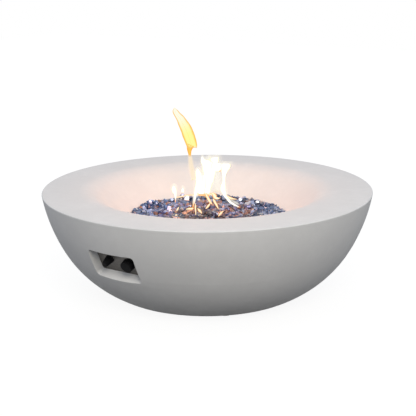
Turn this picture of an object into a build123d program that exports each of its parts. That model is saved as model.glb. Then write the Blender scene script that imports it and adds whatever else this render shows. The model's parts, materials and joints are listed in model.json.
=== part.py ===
from build123d import *
from math import atan2, cos, degrees, pi, radians, sin, sqrt, tan
import os

# A round concrete bowl with a propane burner in its dish.
# All sizes are in millimetres. Heights count from the underside of the casting,
# and the whole fire bowl is lifted by the feet when it is written.
# +Z is up, and the control recess faces -Y.

# Bowl casting
RIM_RADIUS = 535.0
CASTING_HEIGHT = 330.0
BASE_RADIUS = 314.0
BASE_SLOPE = 26.8           # degrees from level, where the wall leaves the base
RIM_SLOPE = 80.5            # degrees from level, where the wall meets the rim
BELLY_SHARE = 0.8           # tangent length of the upper arc over that of the lower arc
WALL = 18.0
RIM_ROUNDING = 3.0
FLAT_RIM_WIDTH = 120.0
CREST_RADIUS = 110.0
DISH_SLOPE = 38.0
DISH_EDGE_RADIUS = 258.0
LEDGE_DROP = 20.0
LEDGE_THICKNESS = 20.0
LEDGE_WIDTH = 28.0
BASE_THICKNESS = 20.0
BASE_FLANGE_WIDTH = 84.0

# Control recess
RECESS_LOW = 145.0          # height of the lower corners of the opening
RECESS_HIGH = 231.5
RECESS_WIDTH = 165.0
RECESS_DEPTH = 24.0
RECESS_DRAFT = 13.0
RECESS_CORNER = 5.0
RECESS_LIP = 2.0
FRAME_BORDER = 19.5

# Screws, feet and holes on circles stand on the diagonals
FIRST_ANGLE = 45.0

# Clearances
RUNNING = 0.05              # radial, between a shaft and its hole
SLIDING = 0.1               # radial, of the igniter button in its body
SEAT = 0.3                  # between a loose or soft piece and its seat
SCREW_CLEARANCE = 0.3       # radial, of a screw in sheet metal
HOLE_CLEARANCE = 0.5        # radial, of a threaded neck in a plate

# Screws and inserts
SCREW_RADIUS = 2.5
SCREW_GRIP = 10.0
HEAD_RADIUS = 4.5
HEAD_HEIGHT = 2.8
SOCKET_FLATS = 3.0
SOCKET_DEPTH = 1.5
INSERT_RADIUS = 4.5
INSERT_LENGTH = 12.0

# Feet
FOOT_RADIUS = 25.0
FOOT_HEIGHT = 8.0
FOOT_COUNT = 4
FOOT_ROUNDING = 1.5
FOOT_RECESS_RADIUS = 7.0
FOOT_RECESS_DEPTH = 4.0

# Burner pan
PAN_SHEET = 1.5
PAN_DEPTH = 52.2
PAN_CLEARANCE = 4.0
PAN_BEND = 6.0
PAN_SCREWS = 4
DRAIN_RADIUS = 4.0
DRAIN_CIRCLE = 205.0
DRAIN_COUNT = 8

# Ring burner
RING_RADIUS = 150.0
TUBE_RADIUS = 8.0
TUBE_WALL = 1.2
TUBE_RISE = 20.0            # from the pan floor to the middle of the tube
CROSS_TUBE_RADIUS = 6.0
TEE_SIZE = 20.0
TEE_LENGTH = 26.0
TEE_BORE = 5.0
PORT_RADIUS = 1.2
PORT_COUNT = 24
HUB_RADIUS = 19.0
HUB_HEIGHT = 32.0
NECK_RADIUS = 10.5
NECK_BORE = 7.0
NECK_LENGTH = 34.0
LOCKNUT_FLATS = 32.0
LOCKNUT_HEIGHT = 7.0

# Air mixer and gas jet
MIXER_RADIUS = 14.0
MIXER_LENGTH = 66.0
MIXER_BORE = 9.0
MIXER_THREAD = 16.0
AIR_HOLE_RADIUS = 5.0
AIR_HOLE_COUNT = 4
JET_RADIUS = 6.5
JET_GRIP = 12.0
JET_LENGTH = 16.0
JET_BORE = 1.0

# Pilot fittings
PILOT_SETBACK = 24.0        # from the outside of the burner tube to the middle of the pilot
PILOT_SPACING = 20.0        # from the thermocouple to the spark electrode
BRACKET_LENGTH = 52.0
BRACKET_WIDTH = 20.0
BRACKET_SHEET = 1.5
BRACKET_HOLE = 3.4
WIRE_SLOT_LENGTH = 28.0
WIRE_SLOT_WIDTH = 11.0
PROBE_RADIUS = 3.2
PROBE_TIP_RADIUS = 2.4
PROBE_COLLAR_RADIUS = 5.0
PROBE_COLLAR_HEIGHT = 3.0
PROBE_BELOW = 18.0
PROBE_ABOVE = 30.0
PROBE_TIP = 9.0
PROBE_TIP_ROUNDING = 2.1
ELECTRODE_RADIUS = 1.2
SPARK_GAP = 4.0
BRACKET_SCREW_RADIUS = 1.5
BRACKET_SCREW_HEAD = 3.0
HOOD_LENGTH = 62.0
HOOD_WIDTH = 30.0
HOOD_HEIGHT = 48.0
HOOD_SHEET = 1.0
HOOD_SLOTS = 4
HOOD_SLOT_WIDTH = 4.0
HOOD_SLOT_HEIGHT = 26.0

# Fire glass
GLASS_EDGE_DROP = 3.0       # glass level below the foot of the dish's slope, at the edge
GLASS_CROWN = 10.0          # rise of the heap from its edge to its middle
CHUNK_SPACING = 34.0        # between the larger chunks of glass that stand out of the heap
CHUNK_RADIUS = 9.0
CHUNK_SIDES = 5
CHUNK_THICKNESS = 9.0
CHUNK_SINK = 5.0            # from the glass level down to the heap between the chunks
CHUNK_TILT_LOW = 15.0
CHUNK_TILT_HIGH = 65.0
CHUNK_SPIN = 37.0           # degrees that each chunk is turned from the one before it

# Control plate
PLATE_SHEET = 1.5
PLATE_MARGIN = 4.0
KNOB_X = 42.0
KNOB_Y = 3.0
IGNITER_X = -33.0
IGNITER_Y = 3.5

# Gas valve
VALVE_NECK_RADIUS = 7.0
VALVE_NECK_FRONT = 4.5      # how far the neck stands out of the plate
VALVE_SHOULDER_RADIUS = 12.0
VALVE_SHOULDER = 6.0
VALVE_SIZE = 34.0
VALVE_LENGTH = 62.0
VALVE_ROUNDING = 3.0
VALVE_CAVITY_RADIUS = 6.2
VALVE_CAVITY_FRONT = 12.0
VALVE_CAVITY_LENGTH = 30.0
VALVE_NUT_FLATS = 19.0
VALVE_NUT_HEIGHT = 3.5
INLET_STATION = 26.0        # behind the plate's front
OUTLET_STATION = 54.0
PORT_REACH = 22.0
LEAD_PORT_RADIUS = 4.0
LEAD_PORT_LENGTH = 8.0

# Valve stem
STEM_RADIUS = 3.0
STEM_FLAT = 1.8             # from the axis to the flat
STEM_FLAT_LENGTH = 10.0
STEM_TAIL = 32.0
STEM_COLLAR_RADIUS = 4.8
STEM_COLLAR = 2.5
KNOB_TRAVEL = 4.5
WASHER_THICKNESS = 1.5
STEM_SPRING_WIRE = 0.6
STEM_SPRING_RADIUS = 4.5
STEM_SPRING_TURNS = 5

# Control knob
KNOB_RADIUS = 19.5
KNOB_TOP_RADIUS = 18.5
KNOB_FRONT = 24.0           # from the plate to the knob's face
KNOB_CLEARANCE = 1.0        # left between the pushed knob and the plate
KNOB_HOLLOW_RADIUS = 14.0
KNOB_HOLLOW_DEPTH = 8.0
KNOB_BORE_DEPTH = 8.0
KNOB_FLUTES = 12
FLUTE_RADIUS = 3.2
FLUTE_DEPTH = 1.3
KNOB_ROUNDING = 1.2
POINTER_WIDTH = 2.4
POINTER_DEPTH = 0.8

# Igniter
BEZEL_RADIUS = 13.5
BEZEL_HEIGHT = 5.0
BEZEL_ROUNDING = 1.2
BARREL_RADIUS = 12.0
BARREL_LENGTH = 66.0
BARREL_END = 3.0
BUTTON_RADIUS = 10.2
BUTTON_FOOT_RADIUS = 12.2
BUTTON_TIP_RADIUS = 8.6
BUTTON_FRONT = 30.0         # from the plate to the button's tip
BUTTON_CLEARANCE = 1.0      # left between the pushed button and the bezel
BUTTON_SKIRT = 10.0         # how far the button reaches behind the plate's front
BUTTON_WALL = 1.8
BUTTON_ROUNDING = 1.5
BUTTON_TRAVEL = 4.0
TERMINAL_RADIUS = 2.0
TERMINAL_LENGTH = 6.0
IGNITER_NUT_FLATS = 30.0
IGNITER_NUT_HEIGHT = 5.0
BATTERY_RADIUS = 7.25
BATTERY_LENGTH = 49.5
BATTERY_CAP_RADIUS = 2.75
BATTERY_CAP = 1.0
IGNITER_SPRING_WIRE = 0.7
IGNITER_SPRING_RADIUS = 6.0
IGNITER_SPRING_TURNS = 5

# Gas inlet in the rear wall
INLET_HEIGHT = 60.0
INLET_POCKET_RADIUS = 25.0
INLET_POCKET_SINK = 4.0     # least depth of the pocket, at its lower edge
INLET_BOSS_BORDER = 15.0
INLET_BOSS = 16.0
INLET_THREAD_RADIUS = 8.0
INLET_BORE = 4.0
FLARE_RADIUS = 7.94
FLARE_LENGTH = 16.0
FLARE_NOSE = 3.0
FLARE_NOSE_RADIUS = 5.5
INLET_HEX_FLATS = 24.0
INLET_HEX = 7.0
INLET_LOCKNUT = 6.0
ELBOW_SIZE = 20.0
ELBOW_GRIP = 9.0
ELBOW_ROUNDING = 2.0

# Hoses and leads
NIPPLE_RADIUS = 6.0
NIPPLE_BORE = 3.0
NIPPLE_REACH = 18.0         # from an elbow's side to the nipple's end
FLARE_NUT_FLATS = 19.0
FLARE_NUT_GRIP = 11.0
FLARE_NUT_TAIL = 9.0
SUPPLY_DIAMETER = 12.0
BURNER_DIAMETER = 10.0
LEAD_DIAMETER = 3.0
SUPPLY_RUN_OUT = 62.0       # straight out of the inlet elbow
SUPPLY_RUN_IN = 52.0        # straight into the valve
BURNER_RUN_OUT = 46.0       # straight out of the valve
BURNER_RUN_IN = 74.0        # straight into the jet elbow
LEAD_RUN_OUT = 25.0         # straight out of the valve or the igniter
LEAD_RUN_IN = 36.0          # straight up into the pilot
LANE_CLEARANCE = 3.0        # from the hose clips to the wall
ARC_OF_RUN = 0.45           # share of the shorter run that an arc takes
CLIP_SHEET = 1.2
CLIP_WIDTH = 10.0
CLIP_EAR = 14.0
LEAD_NUT_FLATS = 10.0
LEAD_NUT_LENGTH = 9.0
LEAD_NUT_BACK = 5.0
TERMINAL_SLEEVE_RADIUS = 3.4
TERMINAL_SLEEVE_LENGTH = 12.0

# Worked out from the sizes above
PAN_HOLE_RADIUS = DISH_EDGE_RADIUS - LEDGE_WIDTH
BASE_HOLE_RADIUS = BASE_RADIUS - BASE_FLANGE_WIDTH
FLAT_RIM_RADIUS = RIM_RADIUS - FLAT_RIM_WIDTH
SLOPE_TOP_RADIUS = FLAT_RIM_RADIUS - CREST_RADIUS * sin(radians(DISH_SLOPE))
SLOPE_TOP = CASTING_HEIGHT - CREST_RADIUS * (1 - cos(radians(DISH_SLOPE)))
DISH_FOOT = SLOPE_TOP - (SLOPE_TOP_RADIUS - DISH_EDGE_RADIUS) * tan(radians(DISH_SLOPE))
LEDGE_HEIGHT = DISH_FOOT - LEDGE_DROP
PAN_RADIUS = PAN_HOLE_RADIUS - PAN_CLEARANCE
PAN_FLANGE_RADIUS = DISH_EDGE_RADIUS - PAN_CLEARANCE
PAN_SCREW_CIRCLE = (PAN_HOLE_RADIUS + PAN_FLANGE_RADIUS) / 2
PAN_UNDERSIDE = LEDGE_HEIGHT + PAN_SHEET - PAN_DEPTH
PAN_FLOOR = PAN_UNDERSIDE + PAN_SHEET
FOOT_CIRCLE = (BASE_HOLE_RADIUS + BASE_RADIUS) / 2
GLASS_RADIUS = DISH_EDGE_RADIUS - SEAT
HEAP_EDGE = DISH_FOOT - GLASS_EDGE_DROP - CHUNK_SINK
HEAP_CURVE = (GLASS_RADIUS ** 2 + GLASS_CROWN ** 2) / (2 * GLASS_CROWN)
GOLDEN_ANGLE = 180 * (3 - sqrt(5))
GOLDEN_SHARE = (sqrt(5) - 1) / 2
PILOT_Y = -(RING_RADIUS + TUBE_RADIUS + PILOT_SETBACK)
MIXER_TOP = PAN_UNDERSIDE - NECK_LENGTH + MIXER_THREAD
MIXER_FOOT = MIXER_TOP - MIXER_LENGTH
JET_HEIGHT = MIXER_FOOT - JET_LENGTH
CLIP_REACH = SUPPLY_DIAMETER / 2 + SEAT + CLIP_SHEET + CLIP_EAR
KNOB_GAP = KNOB_TRAVEL + KNOB_CLEARANCE
BUTTON_FOOT = BEZEL_HEIGHT + BUTTON_TRAVEL + BUTTON_CLEARANCE


def rod(radius, low, high):
    """A cylinder on the Z axis between two heights."""
    return Pos(0, 0, (low + high) / 2) * Cylinder(radius, high - low)


def block(x_size, y_size, low, high):
    """A box centred on the Z axis between two heights."""
    return Pos(0, 0, (low + high) / 2) * Box(x_size, y_size, high - low)


def hexagon(flats, low, high):
    """A hexagonal bar on the Z axis, by its width across flats."""
    outline = RegularPolygon(flats / 2, 6, major_radius=False)
    return Pos(0, 0, low) * extrude(outline, high - low)


def shifted(plane, *moves):
    """A plane after moves within its own frame."""
    place = plane.location
    for move in moves:
        place = place * move
    return Plane(place)


def around(piece, radius, count, first=0.0):
    """Copies of a piece, evenly spaced on a circle about the Z axis."""
    return [Rot(0, 0, first + i * 360 / count) * Pos(radius, 0, 0) * piece for i in range(count)]


def section_point(radius, height):
    """A point of a turned section, in the XZ plane."""
    return Vector(radius, 0, height)


def level_tangent(slope):
    """A direction in the XZ plane, by its angle from level."""
    return Vector(cos(radians(slope)), 0, sin(radians(slope)))


def biarc(start, start_way, end, end_way, share=1.0):
    """Two arcs that leave one point and reach another in given directions."""
    reach = end - start
    ways = start_way + end_way * share
    a = ways.dot(ways) - (1 + share) ** 2
    b = -2 * reach.dot(ways)
    first = (-b - sqrt(b * b - 4 * a * reach.dot(reach))) / (2 * a)
    second = first * share
    corner_1 = start + start_way * first
    corner_2 = end - end_way * second
    joint = corner_1 + (corner_2 - corner_1) * (first / (first + second))
    lower = TangentArc(start, joint, tangent=start_way)
    upper = TangentArc(joint, end, tangent=corner_2 - corner_1)
    return lower, upper


lower_wall, upper_wall = biarc(
    section_point(BASE_RADIUS, 0), level_tangent(BASE_SLOPE),
    section_point(RIM_RADIUS, CASTING_HEIGHT), level_tangent(RIM_SLOPE), BELLY_SHARE,
)


def wall_radius(height, depth=0.0):
    """Radius of the outer wall at a height, or of a surface that lies depth inside it."""
    for arc in (lower_wall, upper_wall):
        centre = arc.arc_center
        along = section_point(centre.X, centre.Z)
        joint = lower_wall @ 1
        reach = arc.radius - depth
        inner_joint = along + (joint - along) * (reach / arc.radius)
        if height <= inner_joint.Z or arc is upper_wall:
            return centre.X + sqrt(reach ** 2 - (height - centre.Z) ** 2)


def arc_about(centre, start, end):
    """The short arc about a centre that joins two points."""
    middle = (start + end) / 2 - centre
    return ThreePointArc(start, centre + middle * ((start - centre).length / middle.length), end)


# Frame of the control recess: its origin is in the middle of the opening,
# x is level, y runs up along the opening and z points out of the bowl.
half_opening = RECESS_WIDTH / 2
low_corner = Vector(0, -sqrt(wall_radius(RECESS_LOW) ** 2 - half_opening ** 2), RECESS_LOW)
high_corner = Vector(0, -sqrt(wall_radius(RECESS_HIGH) ** 2 - half_opening ** 2), RECESS_HIGH)
opening_rise = high_corner - low_corner
OPENING_HEIGHT = opening_rise.length
outward = Vector(0, -opening_rise.Z, opening_rise.Y).normalized()
recess = Plane(origin=(low_corner + high_corner) / 2, x_dir=(1, 0, 0), z_dir=outward)
plate = shifted(recess, Pos(0, 0, -RECESS_DEPTH))
draft_inset = RECESS_DEPTH * tan(radians(RECESS_DRAFT))
WINDOW_WIDTH = RECESS_WIDTH - 2 * draft_inset
WINDOW_HEIGHT = OPENING_HEIGHT - 2 * draft_inset
FRAME_WIDTH = WINDOW_WIDTH + 2 * FRAME_BORDER
FRAME_HEIGHT = WINDOW_HEIGHT + 2 * FRAME_BORDER
PLATE_SCREW_X = (WINDOW_WIDTH + FRAME_BORDER) / 2
PLATE_SCREW_Y = (WINDOW_HEIGHT + FRAME_BORDER) / 2
knob_axis = shifted(plate, Pos(KNOB_X, KNOB_Y, 0))
igniter_axis = shifted(plate, Pos(IGNITER_X, IGNITER_Y, 0))

# Frame of the gas inlet: its origin is on the floor of the rear pocket, z points out.
INLET_FLOOR = wall_radius(INLET_HEIGHT - INLET_POCKET_RADIUS) - INLET_POCKET_SINK
inlet = Plane(origin=(0, INLET_FLOOR, INLET_HEIGHT), x_dir=(-1, 0, 0), z_dir=(0, 1, 0))


def plate_corners(piece):
    """Copies of a piece at the four screws of the control plate."""
    return [
        plate.location * Pos(side_x * PLATE_SCREW_X, side_y * PLATE_SCREW_Y, 0) * piece
        for side_x in (-1, 1) for side_y in (-1, 1)
    ]


# Places of the nipples. Each plane's z axis points out of its nipple.
def valve_port(station):
    reach = VALVE_SIZE / 2 + PORT_REACH
    return shifted(knob_axis, Pos(0, 0, -station), Rot(90, 0, 0), Pos(0, 0, reach))


ELBOW_MIDDLE = INLET_FLOOR - INLET_BOSS - INLET_LOCKNUT - ELBOW_SIZE / 2 - SEAT
elbow_end = Plane(
    origin=(ELBOW_SIZE / 2 + NIPPLE_REACH, ELBOW_MIDDLE, INLET_HEIGHT), x_dir=(0, 1, 0), z_dir=(1, 0, 0)
)
jet_end = Plane(
    origin=(0, -ELBOW_SIZE / 2 - NIPPLE_REACH, JET_HEIGHT), x_dir=(1, 0, 0), z_dir=(0, -1, 0)
)
valve_inlet = valve_port(INLET_STATION)
valve_outlet = valve_port(OUTLET_STATION)
lead_port = shifted(knob_axis, Pos(0, 0, -VALVE_LENGTH - LEAD_PORT_LENGTH), Rot(180, 0, 0))
igniter_terminal = shifted(igniter_axis, Pos(0, 0, -BARREL_LENGTH - TERMINAL_LENGTH), Rot(180, 0, 0))
probe_foot = Plane(origin=(PILOT_SPACING / 2, PILOT_Y, PAN_FLOOR - PROBE_BELOW), z_dir=(0, 0, -1))
electrode_foot = Plane(origin=(-PILOT_SPACING / 2, PILOT_Y, PAN_FLOOR - PROBE_BELOW), z_dir=(0, 0, -1))


def out_of(plane, distance):
    """The point at a distance straight out of a nipple or terminal."""
    return plane.origin + plane.z_dir * distance


# The supply hose lies on the base along a lane beside the wall.
hose_height = BASE_THICKNESS + SUPPLY_DIAMETER / 2 + SEAT
hose_lane = wall_radius(BASE_THICKNESS, WALL) - CLIP_REACH - LANE_CLEARANCE


def on_lane(angle):
    """A point of the lane, by its angle from +X."""
    return Vector(hose_lane * cos(radians(angle)), hose_lane * sin(radians(angle)), hose_height)


def sagging(start, end, *sags):
    """Points between two others, each at a share of the way and hung below the line."""
    return [start + (end - start) * share - Vector(0, 0, sag) for share, sag in sags]


# Routes of the hoses and leads inside the bowl
supply_out = out_of(elbow_end, SUPPLY_RUN_OUT)
supply_in = out_of(valve_inlet, SUPPLY_RUN_IN)
LANE = [on_lane(angle) for angle in (35, 5, -25, -52)]
SUPPLY_ROUTE = [
    elbow_end.origin,
    supply_out,
    *sagging(supply_out, LANE[0], (0.42, 10)),
    *LANE,
    *sagging(LANE[-1], supply_in, (0.55, 16)),
    supply_in,
    valve_inlet.origin,
]
burner_out = out_of(valve_outlet, BURNER_RUN_OUT)
burner_in = out_of(jet_end, BURNER_RUN_IN)
BURNER_ROUTE = [
    valve_outlet.origin,
    burner_out,
    *sagging(burner_out, burner_in, (0.27, 25), (0.6, 27)),
    burner_in,
    jet_end.origin,
]
lead_out = out_of(lead_port, LEAD_RUN_OUT)
lead_in = out_of(probe_foot, LEAD_RUN_IN)
THERMOCOUPLE_ROUTE = [
    lead_port.origin,
    lead_out,
    *sagging(lead_out, lead_in, (0.07, 6), (0.2, 16), (0.39, 39), (0.58, 46), (0.78, 36)),
    lead_in,
    probe_foot.origin,
]
wire_out = out_of(igniter_terminal, LEAD_RUN_OUT)
wire_in = out_of(electrode_foot, LEAD_RUN_IN)
IGNITION_ROUTE = [
    igniter_terminal.origin,
    wire_out,
    *sagging(wire_out, wire_in, (0.1, -3), (0.22, 11), (0.39, 38), (0.58, 45), (0.78, 36)),
    wire_in,
    electrode_foot.origin,
]


def arc_radii(points):
    """Radius of the arc at each corner of a route."""
    radii = []
    for before, corner, after in zip(points, points[1:], points[2:]):
        turn = (corner - before).get_angle(after - corner)
        shorter = min((corner - before).length, (after - corner).length)
        radii.append(ARC_OF_RUN * shorter / tan(radians(turn) / 2))
    return radii


def cord(name, points, diameter):
    """A round cord along straight runs joined by tangent arcs."""
    radii = arc_radii(points)
    path = FilletPolyline(*points, radius=radii)
    if (path @ 0 - points[0]).length > (path @ 1 - points[0]).length:
        path = Wire(path.reversed())
    start_way = (points[1] - points[0]).normalized()
    section = Plane(origin=points[0], z_dir=start_way) * Circle(diameter / 2)
    tube = sweep(section, path=path)
    expected = path.length * pi * diameter ** 2 / 4
    print(name, "length", round(path.length, 1), "radii", [round(r, 1) for r in radii])
    print(name, "volume over section times length", round(tube.volume / expected, 4))
    return tube


def clip_places():
    """Planes at the straight stretches of the supply hose that its clips hold, along the lane."""
    points = SUPPLY_ROUTE
    places = []
    for before, start, end, after in zip(points, points[1:], points[2:], points[3:]):
        if start not in LANE or end not in LANE:
            continue
        run = (end - start).length
        used_before = ARC_OF_RUN * min(run, (start - before).length)
        used_after = ARC_OF_RUN * min(run, (after - end).length)
        way = (end - start).normalized()
        middle = start + way * ((used_before + run - used_after) / 2)
        across = Vector(-way.Y, way.X, 0)
        places.append(Plane(origin=(middle.X, middle.Y, BASE_THICKNESS), x_dir=across, z_dir=(0, 0, 1)))
    return places


def clip_screw_places():
    """Planes at the two screws of each hose clip."""
    reach = CLIP_REACH - CLIP_EAR / 2
    return [shifted(place, Pos(side * reach, 0, 0)) for place in clip_places() for side in (-1, 1)]


def wall_section():
    """The closed section of the casting, from the base round the rim to the ledge."""
    slope = level_tangent(DISH_SLOPE)
    under = Vector(sin(radians(DISH_SLOPE)), 0, -cos(radians(DISH_SLOPE)))
    crest_centre = section_point(FLAT_RIM_RADIUS, CASTING_HEIGHT - CREST_RADIUS)
    slope_top = section_point(SLOPE_TOP_RADIUS, SLOPE_TOP)
    dish_foot = section_point(DISH_EDGE_RADIUS, DISH_FOOT)
    flat_end = section_point(FLAT_RIM_RADIUS, CASTING_HEIGHT)

    ledge_underside = LEDGE_HEIGHT - LEDGE_THICKNESS
    pocket_radius = DISH_EDGE_RADIUS + WALL
    under_top = slope_top + under * WALL
    under_drop = (under_top.X - pocket_radius) * tan(radians(DISH_SLOPE))
    under_foot = section_point(pocket_radius, under_top.Z - under_drop)
    under_flat_end = section_point(FLAT_RIM_RADIUS, CASTING_HEIGHT - WALL)
    inner_rim = section_point(wall_radius(CASTING_HEIGHT - WALL, WALL), CASTING_HEIGHT - WALL)
    joint = lower_wall @ 1
    joint_way = (upper_wall.arc_center - joint).normalized()
    inner_joint = joint + joint_way * WALL
    inner_base = section_point(wall_radius(BASE_THICKNESS, WALL), BASE_THICKNESS)

    outer = [
        lower_wall,
        upper_wall,
        Line(upper_wall @ 1, flat_end),
        arc_about(crest_centre, flat_end, slope_top),
        Line(slope_top, dish_foot),
    ]
    ledge = Polyline(
        dish_foot,
        section_point(DISH_EDGE_RADIUS, LEDGE_HEIGHT),
        section_point(PAN_HOLE_RADIUS, LEDGE_HEIGHT),
        section_point(PAN_HOLE_RADIUS, ledge_underside),
        section_point(pocket_radius, ledge_underside),
        under_foot,
        under_top,
    )
    inner = [
        arc_about(crest_centre, under_top, under_flat_end),
        Line(under_flat_end, inner_rim),
        arc_about(upper_wall.arc_center, inner_rim, inner_joint),
        arc_about(lower_wall.arc_center, inner_joint, inner_base),
    ]
    base = Polyline(
        inner_base,
        section_point(BASE_HOLE_RADIUS, BASE_THICKNESS),
        section_point(BASE_HOLE_RADIUS, 0),
        lower_wall @ 0,
    )
    return make_face(Curve() + outer + [ledge] + inner + [base])


def outer_body():
    """The casting's outside as a full body, which trims what is moulded on its wall."""
    outline = Curve() + [
        lower_wall,
        upper_wall,
        Polyline(upper_wall @ 1, section_point(0, CASTING_HEIGHT), section_point(0, 0), lower_wall @ 0),
    ]
    return revolve(make_face(outline), Axis.Z)


def recess_pocket():
    """The tapered hollow of the control recess, from the plate out past the wall."""
    length = 2 * RECESS_DEPTH
    window = RectangleRounded(WINDOW_WIDTH, WINDOW_HEIGHT, RECESS_CORNER)
    return plate * extrude(window, length, taper=-RECESS_DRAFT)


def insert_places():
    """Planes at the mouths of the threaded inserts, with z pointing out of each."""
    feet = around(Rot(180, 0, 0), FOOT_CIRCLE, FOOT_COUNT, FIRST_ANGLE)
    pan = around(Pos(0, 0, LEDGE_HEIGHT), PAN_SCREW_CIRCLE, PAN_SCREWS, FIRST_ANGLE)
    controls = plate_corners(Rot(180, 0, 0))
    return [Plane(place) for place in feet + pan + controls] + clip_screw_places()


def bowl_casting():
    body = revolve(wall_section(), Axis.Z)
    rim = body.edges().filter_by(GeomType.CIRCLE).sort_by(Axis.Z)[-2:]
    body = fillet(rim.sort_by(SortBy.RADIUS)[-1], RIM_ROUNDING)

    outside = outer_body()
    frame = plate * block(FRAME_WIDTH, FRAME_HEIGHT, 0, 2 * RECESS_DEPTH)
    boss_radius = INLET_POCKET_RADIUS + INLET_BOSS_BORDER
    boss = inlet * rod(boss_radius, -INLET_BOSS, 3 * INLET_POCKET_RADIUS)
    body += (frame & outside) + (boss & outside)

    body -= recess_pocket()
    lip = [e for e in body.edges() if is_recess_lip(e)]
    body = fillet(lip, RECESS_LIP)
    body -= inlet * rod(INLET_POCKET_RADIUS, 0, 3 * INLET_POCKET_RADIUS)
    body -= inlet * rod(INLET_THREAD_RADIUS + HOLE_CLEARANCE, -INLET_BOSS, 0)
    hole = rod(INSERT_RADIUS + RUNNING, -INSERT_LENGTH - SEAT, 0)
    for place in insert_places():
        body -= place * hole
    return body


def is_recess_lip(edge):
    """Whether an edge of the casting runs round the mouth of the control recess."""
    local = recess.to_local_coords(edge.center())
    level = [recess.to_local_coords(edge @ t).Z for t in (0, 1)]
    inside = abs(local.X) < RECESS_WIDTH / 2 + WALL and abs(local.Y) < OPENING_HEIGHT / 2 + WALL
    return inside and min(level) > -RECESS_DEPTH / 2 and local.Z > -RECESS_DEPTH / 4


def threaded_insert():
    return rod(INSERT_RADIUS, -INSERT_LENGTH, 0) - rod(SCREW_RADIUS + RUNNING, -INSERT_LENGTH, 0)


def screw(sheet=0.0, radius=SCREW_RADIUS, grip=SCREW_GRIP, head=HEAD_RADIUS):
    """A socket screw whose head rests at the height of the sheet that it holds."""
    scale = head / HEAD_RADIUS
    top = sheet + HEAD_HEIGHT * scale
    body = rod(radius, -grip, sheet) + rod(head, sheet, top)
    return body - hexagon(SOCKET_FLATS * scale, top - SOCKET_DEPTH * scale, top)


def rubber_foot():
    pad = fillet(rod(FOOT_RADIUS, -FOOT_HEIGHT, 0).edges().sort_by(Axis.Z)[0], FOOT_ROUNDING)
    pad -= rod(FOOT_RECESS_RADIUS, -FOOT_HEIGHT, -FOOT_HEIGHT + FOOT_RECESS_DEPTH)
    return pad - rod(SCREW_RADIUS + SCREW_CLEARANCE, -FOOT_HEIGHT, 0)


def foot_screw():
    return Rot(180, 0, 0) * screw(FOOT_HEIGHT - FOOT_RECESS_DEPTH)


def burner_pan():
    wall = PAN_RADIUS - PAN_SHEET
    top = LEDGE_HEIGHT + PAN_SHEET
    body = rod(PAN_RADIUS, PAN_UNDERSIDE, top)
    body = fillet(body.edges().filter_by(GeomType.CIRCLE).sort_by(Axis.Z)[0], PAN_BEND)
    hollow = rod(wall, PAN_FLOOR, top)
    hollow = fillet(hollow.edges().filter_by(GeomType.CIRCLE).sort_by(Axis.Z)[0], PAN_BEND - PAN_SHEET)
    body = body + rod(PAN_FLANGE_RADIUS, LEDGE_HEIGHT, top) - hollow
    body -= rod(NECK_RADIUS + HOLE_CLEARANCE, PAN_UNDERSIDE, PAN_FLOOR)
    body -= around(rod(DRAIN_RADIUS, PAN_UNDERSIDE, PAN_FLOOR), DRAIN_CIRCLE, DRAIN_COUNT, 360 / DRAIN_COUNT)
    hole = rod(SCREW_RADIUS + SCREW_CLEARANCE, LEDGE_HEIGHT, top)
    body -= around(hole, PAN_SCREW_CIRCLE, PAN_SCREWS, FIRST_ANGLE)
    wire_slot = SlotOverall(WIRE_SLOT_LENGTH, WIRE_SLOT_WIDTH)
    body -= Pos(0, PILOT_Y, PAN_UNDERSIDE) * extrude(wire_slot, PAN_SHEET)
    for side in (-1, 1):
        x = side * (BRACKET_LENGTH / 2 - BRACKET_SCREW_HEAD)
        body -= Pos(x, PILOT_Y, 0) * rod(BRACKET_SCREW_RADIUS + RUNNING, PAN_UNDERSIDE, PAN_FLOOR)
    return body


def burner_tubes(grow=0.0):
    """The ring's two half tubes, the tees that join them, and the cross tube."""
    gap = degrees(TEE_LENGTH / 4 / RING_RADIUS)
    outline = Plane.XZ * Pos(RING_RADIUS, 0) * Circle(TUBE_RADIUS + grow)
    if grow == 0:
        outline -= Plane.XZ * Pos(RING_RADIUS, 0) * Circle(TUBE_RADIUS - TUBE_WALL)
    half_ring = Rot(0, 0, gap) * revolve(outline, Axis.Z, 180 - 2 * gap)
    half_tee = TEE_SIZE / 2 + grow
    tee = block(TEE_SIZE + 2 * grow, TEE_LENGTH + 2 * grow, -half_tee, half_tee)
    cross = Rot(0, 90, 0) * Cylinder(CROSS_TUBE_RADIUS + grow, 2 * RING_RADIUS)
    body = half_ring + around(tee, RING_RADIUS, 2) + Rot(0, 0, 180) * half_ring + cross
    return Pos(0, 0, PAN_FLOOR + TUBE_RISE) * body


def ring_burner():
    height = PAN_FLOOR + TUBE_RISE
    neck_end = PAN_UNDERSIDE - NECK_LENGTH
    body = burner_tubes() + rod(HUB_RADIUS, PAN_FLOOR, PAN_FLOOR + HUB_HEIGHT)
    body += rod(NECK_RADIUS, neck_end, PAN_FLOOR)
    tee_bore = Rot(90, 0, 0) * Cylinder(TEE_BORE, TEE_LENGTH + 2 * TUBE_WALL)
    body -= around(Pos(0, 0, height) * tee_bore, RING_RADIUS, 2)
    body -= Pos(0, 0, height) * Rot(0, 90, 0) * Cylinder(CROSS_TUBE_RADIUS - TUBE_WALL, 2 * RING_RADIUS)
    body -= rod(NECK_BORE, neck_end, height)
    port = rod(PORT_RADIUS, height, height + 2 * TUBE_RADIUS)
    return body - around(port, RING_RADIUS, PORT_COUNT, 180 / PORT_COUNT)


def burner_locknut():
    nut = hexagon(LOCKNUT_FLATS, PAN_UNDERSIDE - LOCKNUT_HEIGHT, PAN_UNDERSIDE)
    return nut - rod(NECK_RADIUS + RUNNING, PAN_UNDERSIDE - LOCKNUT_HEIGHT, PAN_UNDERSIDE)


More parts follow.
